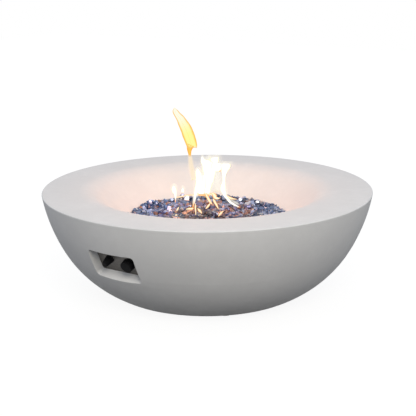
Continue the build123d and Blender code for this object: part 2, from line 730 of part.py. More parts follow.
def air_mixer():
    body = rod(MIXER_RADIUS, MIXER_FOOT, MIXER_TOP)
    body -= rod(NECK_RADIUS + RUNNING, MIXER_TOP - MIXER_THREAD, MIXER_TOP)
    body -= rod(MIXER_BORE, MIXER_FOOT + JET_GRIP, MIXER_TOP)
    body -= rod(JET_RADIUS + RUNNING, MIXER_FOOT, MIXER_FOOT + JET_GRIP)
    hole = Rot(0, 90, 0) * Cylinder(AIR_HOLE_RADIUS, MIXER_RADIUS)
    height = MIXER_FOOT + JET_GRIP + 2 * AIR_HOLE_RADIUS
    return body - around(Pos(0, 0, height) * hole, MIXER_RADIUS, AIR_HOLE_COUNT, FIRST_ANGLE)


def elbow_block():
    """A brass elbow's cube, with rounded upright edges."""
    half = ELBOW_SIZE / 2
    cube = block(ELBOW_SIZE, ELBOW_SIZE, -half, half)
    return fillet(cube.edges().filter_by(Axis.Z), ELBOW_ROUNDING)


def nipple(length):
    """A nipple that ends at the origin and points along +z."""
    return rod(NIPPLE_RADIUS, -length, 0)


def jet_elbow():
    top = JET_LENGTH + JET_GRIP
    body = Pos(0, 0, JET_HEIGHT) * (elbow_block() + rod(JET_RADIUS, 0, top))
    body += jet_end * nipple(NIPPLE_REACH)
    body -= jet_end * rod(NIPPLE_BORE, -NIPPLE_REACH - ELBOW_SIZE / 2, 0)
    body -= Pos(0, 0, JET_HEIGHT) * rod(NIPPLE_BORE, 0, top - JET_GRIP / 2)
    return body - Pos(0, 0, JET_HEIGHT) * rod(JET_BORE, 0, top)


def pilot_bracket():
    body = Pos(0, PILOT_Y, PAN_FLOOR) * block(BRACKET_LENGTH, BRACKET_WIDTH, 0, BRACKET_SHEET)
    body = fillet(body.edges().filter_by(Axis.Z), BRACKET_SCREW_HEAD)
    for side in (-1, 1):
        probe = rod(BRACKET_HOLE, PAN_FLOOR, PAN_FLOOR + BRACKET_SHEET)
        body -= Pos(side * PILOT_SPACING / 2, PILOT_Y, 0) * probe
        fixing = rod(BRACKET_SCREW_RADIUS + RUNNING, PAN_FLOOR, PAN_FLOOR + BRACKET_SHEET)
        body -= Pos(side * (BRACKET_LENGTH / 2 - BRACKET_SCREW_HEAD), PILOT_Y, 0) * fixing
    return body


def bracket_screws():
    piece = screw(BRACKET_SHEET, BRACKET_SCREW_RADIUS, 2 * PAN_SHEET, BRACKET_SCREW_HEAD)
    x = BRACKET_LENGTH / 2 - BRACKET_SCREW_HEAD
    return [Pos(side * x, PILOT_Y, PAN_FLOOR) * piece for side in (-1, 1)]


def probe_body():
    """The stepped round body that both pilot probes share."""
    collar = rod(PROBE_COLLAR_RADIUS, BRACKET_SHEET, BRACKET_SHEET + PROBE_COLLAR_HEIGHT)
    return rod(PROBE_RADIUS, -PROBE_BELOW, PROBE_ABOVE) + collar


def thermocouple():
    body = probe_body() + rod(PROBE_TIP_RADIUS, PROBE_ABOVE, PROBE_ABOVE + PROBE_TIP)
    tip = body.edges().filter_by(GeomType.CIRCLE).sort_by(Axis.Z)[-1]
    body = fillet(tip, PROBE_TIP_ROUNDING)
    return Pos(PILOT_SPACING / 2, PILOT_Y, PAN_FLOOR) * body


def electrode_ceramic():
    bore = rod(ELECTRODE_RADIUS + RUNNING, -PROBE_BELOW, PROBE_ABOVE)
    return Pos(-PILOT_SPACING / 2, PILOT_Y, PAN_FLOOR) * (probe_body() - bore)


def electrode_rod():
    """The spark rod, whose tip bends over towards the thermocouple."""
    top = PROBE_ABOVE + PROBE_TIP
    bend = 3 * ELECTRODE_RADIUS
    reach = PILOT_SPACING - PROBE_TIP_RADIUS - SPARK_GAP
    path = FilletPolyline((0, 0, -PROBE_BELOW), (0, 0, top), (reach, 0, top), radius=bend)
    wire = sweep(Pos(0, 0, -PROBE_BELOW) * Circle(ELECTRODE_RADIUS), path=path)
    return Pos(-PILOT_SPACING / 2, PILOT_Y, PAN_FLOOR) * wire


def hood_box(grow=0.0):
    return Pos(0, PILOT_Y, PAN_FLOOR) * block(
        HOOD_LENGTH + 2 * grow, HOOD_WIDTH + 2 * grow, 0, HOOD_HEIGHT + grow
    )


def pilot_hood():
    inner = block(HOOD_LENGTH - 2 * HOOD_SHEET, HOOD_WIDTH - 2 * HOOD_SHEET, 0, HOOD_HEIGHT - HOOD_SHEET)
    body = hood_box() - Pos(0, PILOT_Y, PAN_FLOOR) * inner
    pitch = HOOD_LENGTH / (HOOD_SLOTS + 1)
    for i in range(HOOD_SLOTS):
        x = (i - (HOOD_SLOTS - 1) / 2) * pitch
        slot = block(HOOD_SLOT_WIDTH, 2 * HOOD_WIDTH, 0, HOOD_SLOT_HEIGHT)
        body -= Pos(x, PILOT_Y, PAN_FLOOR + (HOOD_HEIGHT - HOOD_SLOT_HEIGHT) / 2) * slot
    return body


def heap_point(radius):
    """A point of the heap's domed top, in the XZ plane."""
    fall = HEAP_CURVE - sqrt(HEAP_CURVE ** 2 - radius ** 2)
    return section_point(radius, HEAP_EDGE + GLASS_CROWN - fall)


def glass_chunks():
    """The larger chunks, spread over the heap in a spiral and each tilted its own way."""
    chunk = extrude(RegularPolygon(CHUNK_RADIUS, CHUNK_SIDES), CHUNK_THICKNESS)
    chunk = Pos(0, 0, -CHUNK_THICKNESS / 2) * chunk
    reach = GLASS_RADIUS - CHUNK_RADIUS - CHUNK_THICKNESS / 2
    chunks = []
    for i in range(int(pi * (reach / CHUNK_SPACING) ** 2)):
        radius = CHUNK_SPACING * sqrt((i + 0.5) / pi)
        tilt = CHUNK_TILT_LOW + (CHUNK_TILT_HIGH - CHUNK_TILT_LOW) * (i * GOLDEN_SHARE % 1)
        lying = Rot(0, 0, i * CHUNK_SPIN) * Rot(tilt, 0, 0) * Rot(0, 0, i * CHUNK_SPIN)
        chunks.append(Rot(0, 0, i * GOLDEN_ANGLE) * Pos(*heap_point(radius)) * lying * chunk)
    return chunks


def fire_glass():
    """The heap of fire glass: it fills the pan and lies up to the dish's slope."""
    floor = PAN_FLOOR + SEAT
    inner = PAN_RADIUS - PAN_SHEET - SEAT
    flange = LEDGE_HEIGHT + PAN_SHEET + SEAT
    bend = PAN_BEND - PAN_SHEET
    outline = Curve() + [
        Polyline(
            heap_point(0), section_point(0, floor), section_point(inner - bend, floor),
            section_point(inner, floor + bend), section_point(inner, flange),
            section_point(GLASS_RADIUS, flange), heap_point(GLASS_RADIUS),
        ),
        ThreePointArc(heap_point(GLASS_RADIUS), heap_point(GLASS_RADIUS / 2), heap_point(0)),
    ]
    body = revolve(make_face(outline), Axis.Z) + glass_chunks()
    body -= burner_tubes(SEAT)
    body -= rod(HUB_RADIUS + SEAT, PAN_FLOOR, PAN_FLOOR + HUB_HEIGHT + SEAT)
    body -= hood_box(SEAT)
    head = rod(HEAD_RADIUS + SEAT, LEDGE_HEIGHT, LEDGE_HEIGHT + PAN_SHEET + HEAD_HEIGHT + SEAT)
    return body - around(head, PAN_SCREW_CIRCLE, PAN_SCREWS, FIRST_ANGLE)


def control_plate():
    width = FRAME_WIDTH - 2 * PLATE_MARGIN
    height = FRAME_HEIGHT - 2 * PLATE_MARGIN
    body = plate * Pos(0, 0, -PLATE_SHEET) * extrude(RectangleRounded(width, height, PLATE_MARGIN), PLATE_SHEET)
    body -= knob_axis * rod(VALVE_NECK_RADIUS + HOLE_CLEARANCE, -PLATE_SHEET, 0)
    body -= igniter_axis * rod(BARREL_RADIUS + HOLE_CLEARANCE, -PLATE_SHEET, 0)
    return body - plate_corners(rod(SCREW_RADIUS + SCREW_CLEARANCE, -PLATE_SHEET, 0))


def gas_valve():
    shoulder_end = -PLATE_SHEET - VALVE_SHOULDER
    body = block(VALVE_SIZE, VALVE_SIZE, -VALVE_LENGTH, shoulder_end)
    body = fillet(body.edges().filter_by(Axis.Z), VALVE_ROUNDING)
    body += rod(VALVE_SHOULDER_RADIUS, shoulder_end, -PLATE_SHEET)
    body += rod(VALVE_NECK_RADIUS, shoulder_end, VALVE_NECK_FRONT)
    body += rod(LEAD_PORT_RADIUS, -VALVE_LENGTH - LEAD_PORT_LENGTH, -VALVE_LENGTH)
    for station in (INLET_STATION, OUTLET_STATION):
        length = VALVE_SIZE / 2 + PORT_REACH
        port = rod(NIPPLE_RADIUS, 0, length)
        body += Pos(0, 0, -station) * Rot(90, 0, 0) * port
        bore = rod(NIPPLE_BORE, VALVE_CAVITY_RADIUS + NIPPLE_BORE, length)
        body -= Pos(0, 0, -station) * Rot(90, 0, 0) * bore
    cavity_end = -VALVE_CAVITY_FRONT - VALVE_CAVITY_LENGTH
    body -= rod(VALVE_CAVITY_RADIUS, cavity_end, -VALVE_CAVITY_FRONT)
    body -= rod(STEM_RADIUS + RUNNING, -VALVE_CAVITY_FRONT, VALVE_NECK_FRONT)
    return knob_axis * body


def valve_nut():
    return knob_axis * (
        hexagon(VALVE_NUT_FLATS, 0, VALVE_NUT_HEIGHT) - rod(VALVE_NECK_RADIUS + RUNNING, 0, VALVE_NUT_HEIGHT)
    )


COLLAR_FRONT = -VALVE_CAVITY_FRONT - SEAT
COLLAR_BACK = COLLAR_FRONT - STEM_COLLAR
WASHER_BACK = COLLAR_BACK - RUNNING - WASHER_THICKNESS
KNOB_BORE_END = KNOB_GAP + KNOB_HOLLOW_DEPTH + KNOB_BORE_DEPTH


def stem_shape(grow=0.0):
    """The stem's front, with its flat, from the plate to the end of the knob's bore."""
    end = KNOB_BORE_END - SEAT + grow
    shape = rod(STEM_RADIUS + grow, 0, end)
    flat = block(2 * STEM_RADIUS, 2 * STEM_RADIUS, KNOB_BORE_END - STEM_FLAT_LENGTH, end)
    return shape - Pos(0, STEM_RADIUS + STEM_FLAT + grow, 0) * flat


def valve_stem():
    body = stem_shape() + rod(STEM_RADIUS, -STEM_TAIL, 0)
    return knob_axis * (body + rod(STEM_COLLAR_RADIUS, COLLAR_BACK, COLLAR_FRONT))


def thrust_washer():
    ring = rod(VALVE_CAVITY_RADIUS - RUNNING, WASHER_BACK, WASHER_BACK + WASHER_THICKNESS)
    return knob_axis * (ring - rod(STEM_RADIUS + RUNNING, WASHER_BACK, WASHER_BACK + WASHER_THICKNESS))


def coil_spring(radius, wire, turns, low, high):
    """A compression spring on the Z axis, on arcs of a quarter turn."""
    steps = 4 * turns
    start, end = low + wire, high - wire
    rise = (end - start) / steps
    lead = rise * 4 / (2 * pi)

    def turn_point(i):
        angle = radians(90 * i)
        return Vector(radius * cos(angle), radius * sin(angle), start + rise * i)

    def turn_way(i):
        angle = radians(90 * i)
        return Vector(-radius * sin(angle), radius * cos(angle), lead).normalized()

    arcs = []
    for i in range(steps):
        arcs += biarc(turn_point(i), turn_way(i), turn_point(i + 1), turn_way(i + 1))
    section = Plane(origin=turn_point(0), z_dir=turn_way(0)) * Circle(wire)
    return sweep(section, path=Wire(arcs))


def stem_spring():
    end = -VALVE_CAVITY_FRONT - VALVE_CAVITY_LENGTH
    return knob_axis * coil_spring(
        STEM_SPRING_RADIUS, STEM_SPRING_WIRE, STEM_SPRING_TURNS, end + RUNNING, WASHER_BACK - RUNNING
    )


def control_knob():
    """A fluted knob that is hollow behind, with a pointer groove in its face."""
    length = KNOB_FRONT - KNOB_GAP
    draft = degrees(atan2(KNOB_RADIUS - KNOB_TOP_RADIUS, length))
    body = Pos(0, 0, KNOB_GAP) * extrude(Circle(KNOB_RADIUS), length, taper=draft)
    flute = rod(FLUTE_RADIUS, KNOB_GAP, KNOB_FRONT)
    body -= around(flute, KNOB_RADIUS + FLUTE_RADIUS - FLUTE_DEPTH, KNOB_FLUTES, 180 / KNOB_FLUTES)
    face = body.faces().sort_by(Axis.Z)[-1]
    body = fillet(face.edges(), KNOB_ROUNDING)
    body -= rod(KNOB_HOLLOW_RADIUS, KNOB_GAP, KNOB_GAP + KNOB_HOLLOW_DEPTH)
    body -= stem_shape(RUNNING) - rod(KNOB_RADIUS, 0, KNOB_GAP)
    groove = block(POINTER_WIDTH, KNOB_TOP_RADIUS / 2, KNOB_FRONT - POINTER_DEPTH, KNOB_FRONT)
    body -= Pos(0, KNOB_TOP_RADIUS / 2, 0) * groove
    return knob_axis * body


def igniter_body():
    bezel = rod(BEZEL_RADIUS, 0, BEZEL_HEIGHT)
    bezel = fillet(bezel.edges().filter_by(GeomType.CIRCLE).sort_by(Axis.Z)[-1], BEZEL_ROUNDING)
    body = bezel + rod(BARREL_RADIUS, -BARREL_LENGTH, 0)
    body -= rod(BUTTON_RADIUS + SLIDING, -BUTTON_SKIRT - BUTTON_TRAVEL - SEAT, BEZEL_HEIGHT)
    body -= rod(BATTERY_RADIUS + SEAT, -BARREL_LENGTH + BARREL_END, 0)
    return igniter_axis * (body + rod(TERMINAL_RADIUS, -BARREL_LENGTH - TERMINAL_LENGTH, -BARREL_LENGTH))


def igniter_nut():
    low = -PLATE_SHEET - IGNITER_NUT_HEIGHT
    nut = hexagon(IGNITER_NUT_FLATS, low, -PLATE_SHEET)
    return igniter_axis * (nut - rod(BARREL_RADIUS + RUNNING, low, -PLATE_SHEET))


BATTERY_BACK = -BARREL_LENGTH + BARREL_END + RUNNING


def battery():
    top = BATTERY_BACK + BATTERY_LENGTH
    body = rod(BATTERY_RADIUS, BATTERY_BACK, top) + rod(BATTERY_CAP_RADIUS, top, top + BATTERY_CAP)
    return igniter_axis * body


def igniter_button():
    """A tapering hollow cap: its skirt slides in the igniter's bore."""
    cone = Pos(0, 0, (BUTTON_FOOT + BUTTON_FRONT) / 2) * Cone(
        BUTTON_FOOT_RADIUS, BUTTON_TIP_RADIUS, BUTTON_FRONT - BUTTON_FOOT
    )
    cone = fillet(cone.edges().filter_by(GeomType.CIRCLE).sort_by(Axis.Z)[-1], BUTTON_ROUNDING)
    body = cone + rod(BUTTON_RADIUS, -BUTTON_SKIRT, BUTTON_FOOT)
    return igniter_axis * (body - rod(BUTTON_RADIUS - BUTTON_WALL, -BUTTON_SKIRT, BUTTON_FOOT))


def igniter_spring():
    low = BATTERY_BACK + BATTERY_LENGTH + RUNNING
    return igniter_axis * coil_spring(
        IGNITER_SPRING_RADIUS, IGNITER_SPRING_WIRE, IGNITER_SPRING_TURNS, low, BUTTON_FOOT - RUNNING
    )


def gas_inlet():
    """The brass bulkhead fitting: a flare outside, a long thread through the boss."""
    inner_end = -INLET_BOSS - INLET_LOCKNUT - SEAT - ELBOW_GRIP
    body = rod(INLET_THREAD_RADIUS, inner_end, 0) + hexagon(INLET_HEX_FLATS, 0, INLET_HEX)
    flare_end = INLET_HEX + FLARE_LENGTH
    body += rod(FLARE_RADIUS, INLET_HEX, flare_end)
    body += Pos(0, 0, flare_end + FLARE_NOSE / 2) * Cone(FLARE_RADIUS, FLARE_NOSE_RADIUS, FLARE_NOSE)
    return inlet * (body - rod(INLET_BORE, inner_end, flare_end + FLARE_NOSE))


def inlet_locknut():
    low = -INLET_BOSS - INLET_LOCKNUT
    nut = hexagon(INLET_HEX_FLATS, low, -INLET_BOSS)
    return inlet * (nut - rod(INLET_THREAD_RADIUS + RUNNING, low, -INLET_BOSS))


def inlet_elbow():
    body = Pos(0, ELBOW_MIDDLE, INLET_HEIGHT) * elbow_block() + elbow_end * nipple(NIPPLE_REACH)
    body -= elbow_end * rod(NIPPLE_BORE, -NIPPLE_REACH - ELBOW_SIZE / 2, 0)
    top = ELBOW_MIDDLE + ELBOW_SIZE / 2 - INLET_FLOOR
    body -= inlet * rod(INLET_THREAD_RADIUS + RUNNING, top - ELBOW_GRIP - SEAT, top)
    return body - inlet * rod(NIPPLE_BORE, top - ELBOW_SIZE / 2, top)


def flare_nut(hose_radius):
    """A nut over a nipple that ends at the origin: its tail reaches along the hose."""
    body = hexagon(FLARE_NUT_FLATS, -FLARE_NUT_GRIP, 0)
    body += rod(FLARE_NUT_FLATS / 2, 0, FLARE_NUT_TAIL)
    body -= rod(NIPPLE_RADIUS + RUNNING, -FLARE_NUT_GRIP, 0)
    return body - rod(hose_radius + SEAT, 0, FLARE_NUT_TAIL)


def hose_clip():
    """A sheet saddle over the hose, with an ear each side."""
    inside = SUPPLY_DIAMETER / 2 + SEAT
    outside = inside + CLIP_SHEET
    half = CLIP_EAR + outside
    arch = Rot(90, 0, 0) * Cylinder(outside, CLIP_WIDTH) + block(2 * outside, CLIP_WIDTH, -inside, 0)
    ears = block(2 * half, CLIP_WIDTH, -inside, -inside + CLIP_SHEET)
    hollow = Rot(90, 0, 0) * Cylinder(inside, CLIP_WIDTH) + block(2 * inside, CLIP_WIDTH, -outside, 0)
    body = Pos(0, 0, inside) * (arch + ears - hollow)
    for side in (-1, 1):
        x = side * (outside + CLIP_EAR / 2)
        body -= Pos(x, 0, 0) * rod(SCREW_RADIUS + SCREW_CLEARANCE, 0, CLIP_SHEET)
    return body


def thermocouple_nut():
    nut = hexagon(LEAD_NUT_FLATS, LEAD_NUT_BACK - LEAD_NUT_LENGTH, LEAD_NUT_BACK)
    nut -= rod(LEAD_PORT_RADIUS + RUNNING, LEAD_NUT_BACK - LEAD_NUT_LENGTH, 0)
    return lead_port * (nut - rod(LEAD_DIAMETER / 2 + RUNNING, 0, LEAD_NUT_BACK))


def terminal_sleeve():
    """A soft sleeve over the igniter's terminal and the start of its wire."""
    end = TERMINAL_SLEEVE_LENGTH - TERMINAL_LENGTH
    body = rod(TERMINAL_SLEEVE_RADIUS, -TERMINAL_LENGTH, end)
    body -= rod(TERMINAL_RADIUS + RUNNING, -TERMINAL_LENGTH, 0)
    return body - rod(LEAD_DIAMETER / 2 + RUNNING, 0, end)


def write(name, piece):
    """Write one node, lifted by the feet. A list of pieces becomes one group of solids."""
    if isinstance(piece, list):
        piece = Compound([solid for item in piece for solid in item.solids()])
    export_step(Pos(0, 0, FOOT_HEIGHT) * piece, f"parts/{name}.step")


def main():
    os.makedirs("parts", exist_ok=True)
    write("bowl_casting", bowl_casting())
    write("threaded_inserts", [place * threaded_insert() for place in insert_places()])
    write("rubber_feet", around(rubber_foot(), FOOT_CIRCLE, FOOT_COUNT, FIRST_ANGLE))
    write("foot_screws", around(foot_screw(), FOOT_CIRCLE, FOOT_COUNT, FIRST_ANGLE))

    write("burner_pan", burner_pan())
    pan_screw = Pos(0, 0, LEDGE_HEIGHT) * screw(PAN_SHEET)
    write("pan_screws", around(pan_screw, PAN_SCREW_CIRCLE, PAN_SCREWS, FIRST_ANGLE))
    write("ring_burner", ring_burner())
    write("burner_locknut", burner_locknut())
    write("air_mixer", air_mixer())
    write("jet_elbow", jet_elbow())
    write("pilot_bracket", pilot_bracket())
    write("bracket_screws", bracket_screws())
    write("pilot_hood", pilot_hood())
    write("thermocouple", thermocouple())
    write("electrode_ceramic", electrode_ceramic())
    write("electrode_rod", electrode_rod())
    write("fire_glass", fire_glass())

    write("control_plate", control_plate())
    write("plate_screws", plate_corners(Rot(180, 0, 0) * screw(PLATE_SHEET)))
    write("gas_valve", gas_valve())
    write("valve_nut", valve_nut())
    write("stem_spring", stem_spring())
    write("thrust_washer", thrust_washer())
    write("valve_stem", valve_stem())
    write("control_knob", control_knob())
    write("igniter_body", igniter_body())
    write("igniter_nut", igniter_nut())
    write("battery", battery())
    write("igniter_spring", igniter_spring())
    write("igniter_button", igniter_button())

    write("gas_inlet", gas_inlet())
    write("inlet_locknut", inlet_locknut())
    write("inlet_elbow", inlet_elbow())
    write("supply_hose", cord("supply_hose", SUPPLY_ROUTE, SUPPLY_DIAMETER))
    supply_nut = flare_nut(SUPPLY_DIAMETER / 2)
    write("supply_hose_nuts", [elbow_end * supply_nut, valve_inlet * supply_nut])
    write("hose_clips", [place * hose_clip() for place in clip_places()])
    write("clip_screws", [place * screw(CLIP_SHEET) for place in clip_screw_places()])
    write("burner_hose", cord("burner_hose", BURNER_ROUTE, BURNER_DIAMETER))
    burner_nut = flare_nut(BURNER_DIAMETER / 2)
    write("burner_hose_nuts", [jet_end * burner_nut, valve_outlet * burner_nut])
    write("thermocouple_lead", cord("thermocouple_lead", THERMOCOUPLE_ROUTE, LEAD_DIAMETER))
    write("thermocouple_nut", thermocouple_nut())
    write("ignition_wire", cord("ignition_wire", IGNITION_ROUTE, LEAD_DIAMETER))
    write("wire_terminal", igniter_terminal * terminal_sleeve())


main()
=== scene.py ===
import json
import math
import random

import bmesh
import bpy
from mathutils import Matrix, Vector, noise


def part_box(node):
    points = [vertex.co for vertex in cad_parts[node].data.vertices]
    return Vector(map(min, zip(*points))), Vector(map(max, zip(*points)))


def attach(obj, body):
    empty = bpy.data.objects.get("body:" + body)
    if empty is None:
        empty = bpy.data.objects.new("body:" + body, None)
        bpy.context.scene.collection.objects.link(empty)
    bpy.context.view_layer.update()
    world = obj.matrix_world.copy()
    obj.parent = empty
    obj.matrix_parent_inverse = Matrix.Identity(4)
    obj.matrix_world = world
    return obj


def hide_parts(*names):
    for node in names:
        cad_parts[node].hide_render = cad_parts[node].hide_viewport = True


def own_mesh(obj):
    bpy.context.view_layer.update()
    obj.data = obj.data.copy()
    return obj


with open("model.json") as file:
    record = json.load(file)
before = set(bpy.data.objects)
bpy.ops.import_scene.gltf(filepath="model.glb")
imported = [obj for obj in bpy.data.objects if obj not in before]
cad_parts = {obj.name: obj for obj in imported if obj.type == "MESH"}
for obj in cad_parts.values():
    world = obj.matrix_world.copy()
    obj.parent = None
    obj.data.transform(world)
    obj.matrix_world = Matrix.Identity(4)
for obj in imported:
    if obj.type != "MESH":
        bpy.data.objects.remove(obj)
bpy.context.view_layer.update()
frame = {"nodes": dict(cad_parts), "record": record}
random.seed(7)

# Lengths are in metres, except in the flames' tables.

# The way in which both controls are pushed, and how far each shortens its spring
SPRINGS = (("stem_spring", "knob_push", 0.0045), ("igniter_spring", "igniter_push", 0.004))

# The heap of fire glass: its chunks stand over its crown, and its edge rests on the ledge
CHUNK_RISE = 0.0105
CROWN_RISE = 0.010
LEDGE_DROP = 0.0092
PAN_INNER_RADIUS = 0.2242
BED_DROP = 0.006
BED_RINGS = 12
TURN_STEPS = 96

# How the chips lie on the heap. Each range is drawn from evenly.
CHIP_SPACING = 0.0094
CHIP_SIZES = (0.0100, 0.0230)
CHIP_JITTER = 0.35
CHIP_RISE = (-0.0055, 0.0005)
STANDING_SHARE = 0.08
STANDING_RISE = (0.0010, 0.0050)
UNEVENNESS = 0.015
UNEVEN_PATCHES = 16.0
CLEAR_OF_EDGE = 0.007
EDGE_ROOM = 0.03
EDGE_LIFT = 0.0055
EDGE_SCALE = 0.85
MOUND = (-0.228, -0.003)
MOUND_REACH = 0.036
MOUND_RISE = 0.011
ROW_STEP = math.sqrt(0.75)

# The chips' shapes, for a chip that is 1 across
SHARD_KINDS = 14
SHARD_CUTS = 5
SHARD_SIZES = ((0.75, 1.1), (0.6, 0.95), (0.45, 0.8))
CUT_DEPTHS = (0.26, 0.4)

# Each kind of chip: its colour and how silvered it is
CHIP_KINDS = {
    "dark_brown": ((0.055, 0.032, 0.028), 0.1),
    "warm": ((0.2, 0.085, 0.045), 0.15),
    "white": ((0.5, 0.53, 0.6), 0.3),
    "pale": ((0.27, 0.33, 0.5), 0.35),
    # Purple chips are painted firelight: blue glass tinted by the flames' reflection.
    "painted_firelight_purple": ((0.12, 0.115, 0.24), 0.4),
    "blue": ((0.07, 0.115, 0.24), 0.4),
    "shaded_depth_tone": ((0.015, 0.026, 0.08), 0.12),
}

# The share of warm chips, then where the other kinds' shares end, counted on from it
WARM_SHARE = 0.06
# Painted firelight: within a reach of the middle, more chips are warm and purple ones stand in for
# blue, as the flames' light reflected in the glass.
PAINTED_FIRELIGHT_WARM_SHARE = 0.34
PAINTED_FIRELIGHT_REACH = 0.16
WHITE_END = 0.02
PALE_END = 0.2
BLUE_END = 0.54

# Many chips are dark brown in one patch, and chips are lighter round the mound. Towards the camera
# they are darker as painted shade, standing in for the rim's shade on the nearest glass.
CHIP_LIGHT = (0.6, 1.4)
DARK_PATCH = (-0.030, -0.034)
DARK_PATCH_REACH = 0.075
DARK_PATCH_SHARE = 0.55
PALE_REACH = 0.16
PALE_GAIN = 0.7
# Painted shade: how far towards the camera the chips darken, and by how much
PAINTED_SHADE_DEPTH = 0.05
PAINTED_SHADE_LOSS = 0.65

# Where the photograph was taken from
AZIMUTH = math.radians(34.2)
CAMERA_REACH = 3.0833
CAMERA_HEIGHT = 1.0659
CAMERA_PITCH = 14.53
CAMERA_YAW = -0.04
CAMERA_ROLL = -0.38
CAMERA_LENS = 83.84
SENSOR_WIDTH = 36.0

# The stage and its light
FLOOR_HALF_SIZE = 8.0
FLOOR_GLOW = 0.91
KEY_PLACE = (2.42, -2.72, 2.7)
KEY_TARGET = (0, 0, 0.2)
KEY_SIZE = 2.0
KEY_POWER = 86.0
KEY_TINT = (1.0, 0.93, 0.8)
FIRE_TINT = (1.0, 0.42, 0.2)
VISIBLE_RAYS = ("Is Camera Ray", "Is Glossy Ray", "Is Transmission Ray")

# Flames: each sheet's depth in front of the bowl's axis, then places down its middle,
# as across, height and half width. All are in millimetres, as the photograph's camera sees them.
FLAMES = {
    "middle": (-225, [
        (-17, 393, 2), (-16, 385, 6), (-12, 375, 13), (-2, 366, 24), (5, 352, 26), (6, 333, 24),
        (6, 316, 21), (3, 299, 18), (0, 283, 17), (-3, 270, 17), (-5, 265, 17), (-6, 260, 16),
        (-7, 256, 15), (-8, 252, 13)]),
    "crest": (-230, [
        (26, 389, 17), (26, 386, 19), (24, 378, 20), (22, 369, 19), (20, 356, 15), (17, 339, 12),
        (13, 318, 9), (10, 294, 7)]),
    "left": (-45, [
        (-32, 389, 1), (-31, 381, 8), (-29, 368, 11), (-26, 352, 13), (-30, 334, 11), (-35, 318, 8),
        (-40, 300, 5), (-43, 282, 4), (-46, 266, 3), (-50, 252, 1)]),
    "veil": (-150, [
        (-13, 343, 5), (-13, 326, 12), (-16, 306, 15), (-20, 290, 14), (-21, 283, 14), (-21, 278, 13),
        (-21, 273, 11)]),
    "right": (-62, [
        (61, 402, 17), (61, 398, 20), (61, 392, 20), (59, 383, 15), (57, 372, 9), (56, 356, 5),
        (56, 341, 5), (54, 327, 9), (53, 315, 10), (56, 304, 8), (61, 293, 6), (68, 281, 5),
        (78, 270, 4), (90, 262, 4), (97, 258, 3), (101, 256, 3), (105, 254, 2), (107, 253, 1),
        (109, 252, 1), (110, 252, 0)]),
    "bridge": (-70, [
        (33, 401, 20), (33, 397, 24), (34, 391, 25), (37, 384, 20), (41, 378, 8), (44, 373, 1)]),
    "small": (-130, [
        (-114, 311, 3), (-114, 305, 7), (-113, 298, 9), (-111, 290, 8), (-109, 283, 5),
        (-109, 271, 3), (-109, 261, 2), (-109, 252, 1)]),
    "spark": (-215, [
        (-86, 284, 2), (-86, 278, 5), (-86, 271, 5), (-86, 265, 1)]),
}
LICKS = {
    "branch": (-62, [
        (63, 294, 3), (72, 287, 4), (83, 283, 4), (93, 281, 2), (99, 280, 1)]),
    "low_left": (-90, [
        (-5, 294, 3), (1, 280, 5), (8, 268, 5), (14, 258, 4), (12, 252, 1)]),
    "low_middle": (-42, [
        (10, 273, 1), (3, 263, 4), (-3, 256, 3), (-5, 252, 1)]),
    "low_right": (-42, [
        (19, 288, 1), (23, 280, 4), (29, 269, 4), (34, 259, 3), (37, 252, 1)]),
    "curl": (-110, [
        (12, 286, 3), (20, 288, 5), (24, 281, 8), (27, 274, 6), (38, 272, 3), (45, 275, 1)]),
    "ember": (-222, [
        (-109, 249, 1), (-91, 251, 3), (-71, 255, 3), (-56, 257, 3), (-44, 259, 1)]),
    "fringe": (-235, [
        (-38, 255, 2), (-21, 255, 5), (-4, 254, 5), (16, 257, 5), (30, 257, 2)]),
    "patch": (-30, [
        (-71, 255, 1), (-61, 257, 4), (-52, 257, 5), (-45, 260, 1)]),
    "spike": (45, [
        (-38, 293, 1), (-39, 279, 3), (-38, 265, 2), (-38, 252, 1)]),
    "blob": (20, [
        (-32, 271, 1), (-26, 264, 5), (-20, 257, 3), (-18, 253, 1)]),
    "lick_left": (-15, [
        (-94, 267, 1), (-98, 260, 3), (-103, 252, 1)]),
    "lick_low": (65, [
        (-101, 264, 1), (-101, 257, 5), (-101, 252, 1)]),
    "lick_right": (55, [
        (52, 271, 1), (43, 263, 4), (35, 252, 1)]),
}
TALL_FLAME = (-180, [
    (-107, 572, 1), (-108, 566, 6), (-106, 559, 10), (-99, 547, 12), (-88, 532, 15), (-80, 516, 18),
    (-72, 501, 20), (-65, 484, 21), (-59, 467, 21), (-54, 451, 20), (-51, 440, 19), (-51, 433, 18)])
TALL_FLAME_STEM = (-180, [
    (-55, 444, 14), (-59, 433, 11), (-60, 421, 7), (-59, 411, 5), (-59, 403, 4)])
TALL_FLAME_TAIL = (-180, [
    (-59, 409, 7), (-57, 397, 10), (-55, 384, 12), (-53, 367, 14), (-50, 350, 15), (-48, 333, 13),
    (-47, 320, 10)])
HAZE = (-150, [(36, 368, 2), (37, 343, 8), (35, 318, 11), (33, 295, 13), (32, 275, 8)])
HAZY_FLAMES = ("middle", "crest", "left", "right", "small", "spark")
HAZE_SPREAD = 2.0
HAZE_SETBACK = 40
FLAME_STEPS = (12, 48)
SLOPE_SPAN = 0.03
NARROWEST = 0.3
MM_PER_M = 1000

# Along a flame 0 is its tip and 1 its foot. Across it 0 is its middle and 1 its edge.
FLAME_STREAKS = (70.0, 70.0, 17.0)
CROWN_SPAN = (0.25, 0.7)
FOOT_END = 0.97
FOOT_FADE = (0.9, 1.0)
FOOT_LOSS = 0.6
RIM_END = 0.95
FADE_END = 1.02


